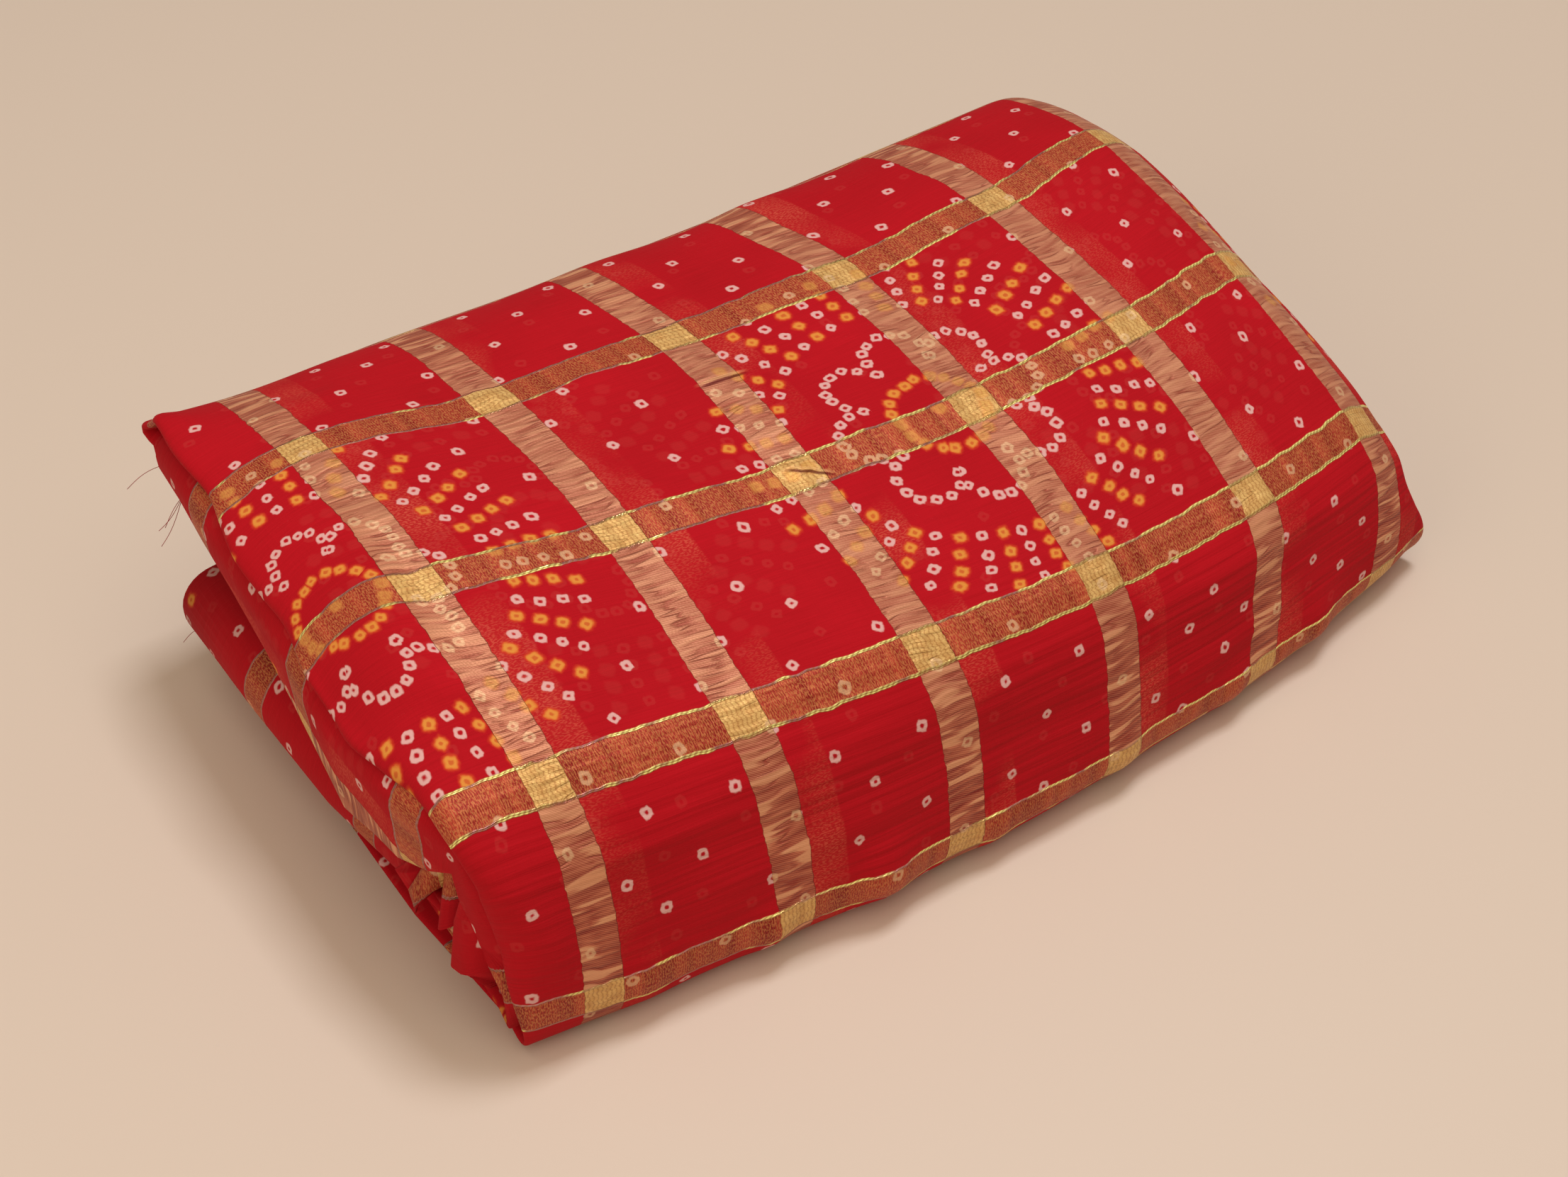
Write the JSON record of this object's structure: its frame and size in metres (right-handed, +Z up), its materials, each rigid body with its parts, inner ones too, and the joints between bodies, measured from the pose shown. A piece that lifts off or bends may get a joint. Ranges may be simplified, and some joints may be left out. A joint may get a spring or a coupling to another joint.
{
  "type": "folded bandhani cloth",
  "caption": "Long sheer tie-dyed cloth with woven metallic checks, folded back and forth and then over like a book into a soft oblong bundle that rests flat.",
  "frame": {"origin": "middle of the bundle's box at its flat underside", "axes": "+X along the long side, towards the lower end; -Y is the closed front of the book fold; +Z up"},
  "size_m": [0.4022, 0.253, 0.1311],
  "materials": {
    "georgette": "sheer crimson crepe georgette with copper and gold metallic check bands and small white and yellow tie-dyed rings"
  },
  "bodies": {
    "root": {"folded_cloth": "georgette"}
  },
  "joints": []
}
